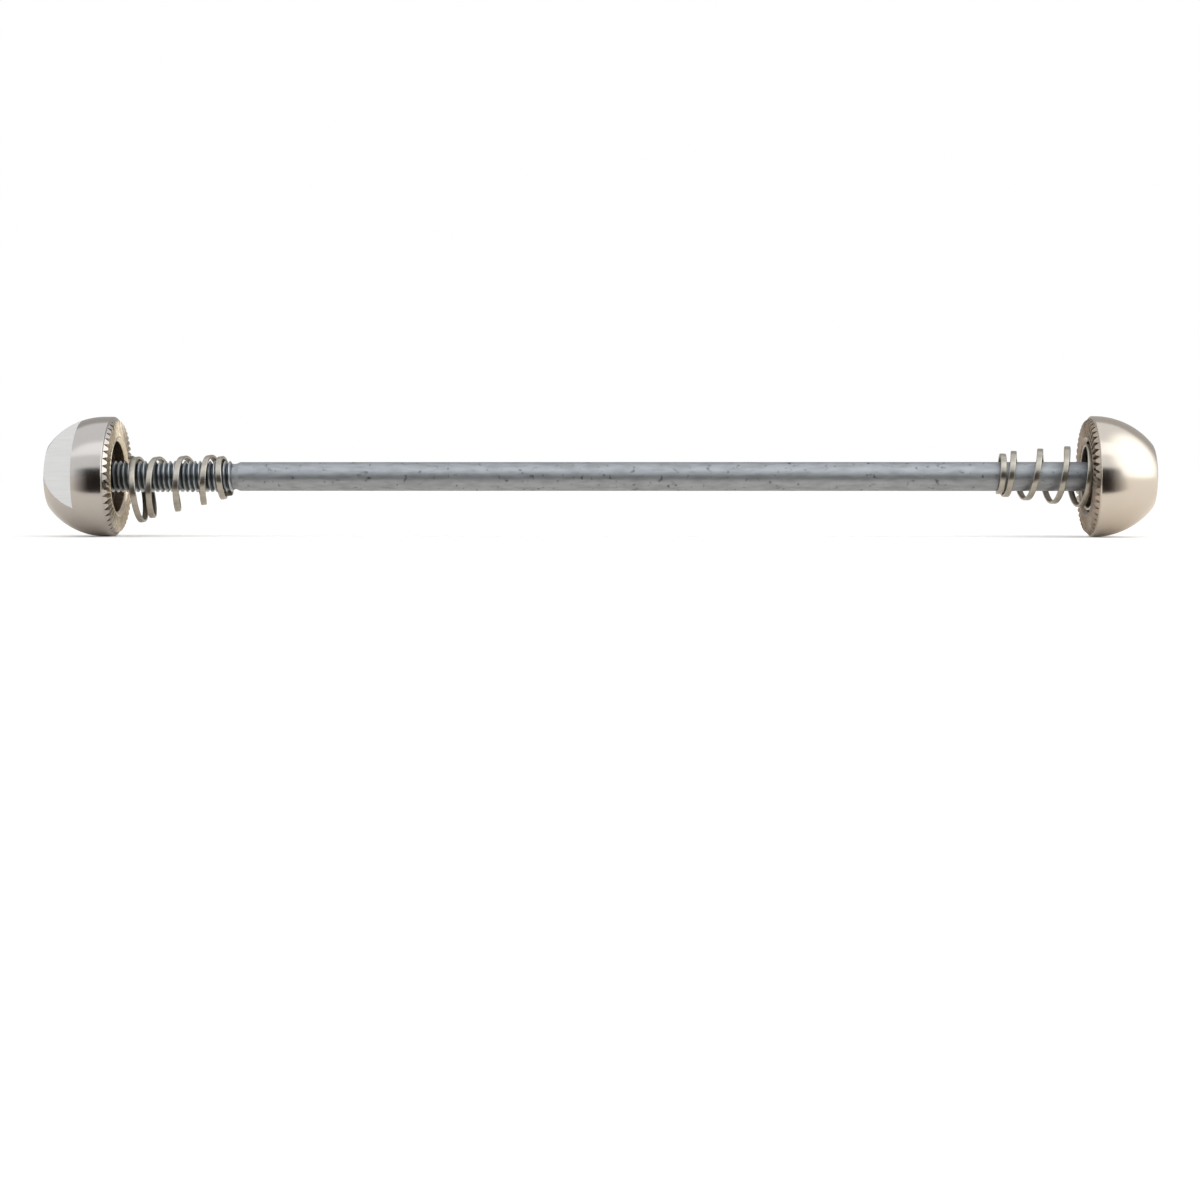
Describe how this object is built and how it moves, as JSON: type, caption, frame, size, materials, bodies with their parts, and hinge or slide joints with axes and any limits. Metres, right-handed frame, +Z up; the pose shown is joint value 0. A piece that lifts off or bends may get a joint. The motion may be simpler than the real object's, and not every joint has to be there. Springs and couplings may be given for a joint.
{
  "type": "keyed wheel skewer",
  "caption": "Wheel skewer for a bicycle hub: a steel rod with a domed head, a domed nut with two key flats on its thread, toothed clamp faces and two conical springs.",
  "frame": {"origin": "on the rod's axis, halfway along the whole skewer, at the centre of its box", "axes": "+X along the rod from the nut to the head, which is also the way the nut's clamp face looks; +Z up; -Y towards the viewer"},
  "size_m": [0.1755, 0.019, 0.019],
  "materials": {
    "zinc_steel": "matte zinc plating with fine dark mottling",
    "satin_nickel": "satin nickel plating over turned steel, machined flats left bright",
    "champagne_nickel": "warm satin nickel plating over turned steel",
    "spring_steel": "drawn flat spring wire with a warm grey skin"
  },
  "bodies": {
    "skewer": {"rod": "zinc_steel", "head": "champagne_nickel", "head_spring": "spring_steel"},
    "spring_carriage": {"nut_spring": "spring_steel"},
    "nut": {"keyed_nut": "satin_nickel"}
  },
  "joints": [
    {"name": "nut_travel", "type": "slide", "parent": "skewer", "child": "spring_carriage", "axis": [1, 0, 0], "range_m": [-0.00801, 0.02001]},
    {"name": "nut_turn", "type": "hinge", "parent": "spring_carriage", "child": "nut", "pos_m": [-0.07645, 0, 0], "axis": [1, 0, 0], "range_deg": [-3600, 9000]}
  ],
  "couplings": [
    {"joint": "nut_travel", "follows": "nut_turn", "m_per_rad": 0.00012732}
  ]
}
